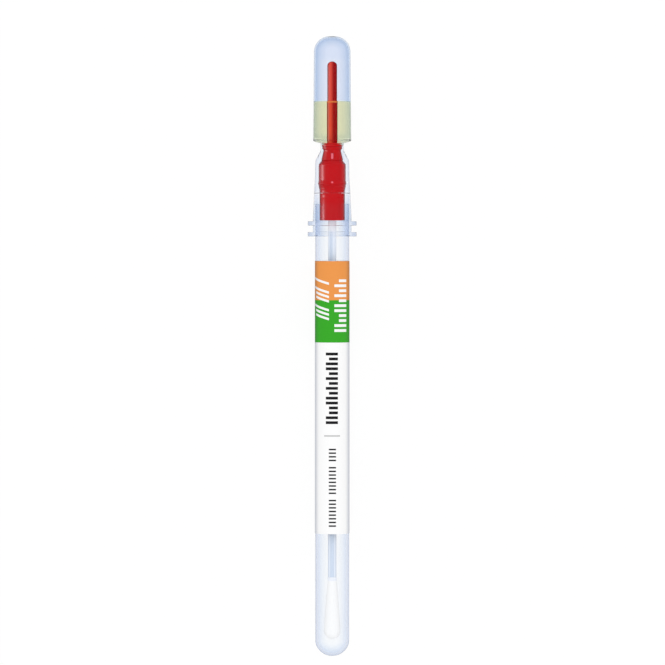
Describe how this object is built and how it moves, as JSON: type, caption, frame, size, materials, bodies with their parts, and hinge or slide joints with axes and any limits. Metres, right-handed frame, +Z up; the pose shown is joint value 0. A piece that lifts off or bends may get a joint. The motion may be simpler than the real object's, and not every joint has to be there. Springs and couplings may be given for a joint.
{
  "type": "specimen swab tube",
  "caption": "Clear round-bottom tube holding a fibre swab on a hollow shaft, closed by a flanged squeeze bulb of broth with a red snap valve; the bulb and swab slide out together.",
  "frame": {"origin": "on the table, under the middle of the device, which lies on its side on the lower flange's rim and the tube's round end", "axes": "+Y along the device towards the bulb, +Z up out of the table; the device's own axis rises about one degree towards +Y"},
  "size_m": [0.0132, 0.1686, 0.0133],
  "materials": {
    "tube": "clear, slightly blue moulded plastic",
    "label": "printed white film with an orange and a green band",
    "bulb": "clear, soft, pale blue moulded plastic",
    "snap_valve": "red moulded plastic, satin gloss",
    "broth": "clear yellow-green liquid",
    "swab_shaft": "pale translucent drawn tube",
    "swab_bud": "wound white fibre"
  },
  "bodies": {
    "tube": {"tube": "tube", "label": "label"},
    "swab": {"bulb": "bulb", "snap_valve": "snap_valve", "broth": "broth", "swab_shaft": "swab_shaft", "swab_bud": "swab_bud"}
  },
  "joints": [
    {"name": "swab_pull", "type": "slide", "parent": "tube", "child": "swab", "axis": [0, 0.9998, 0.0185], "range_m": [0, 0.122]}
  ]
}
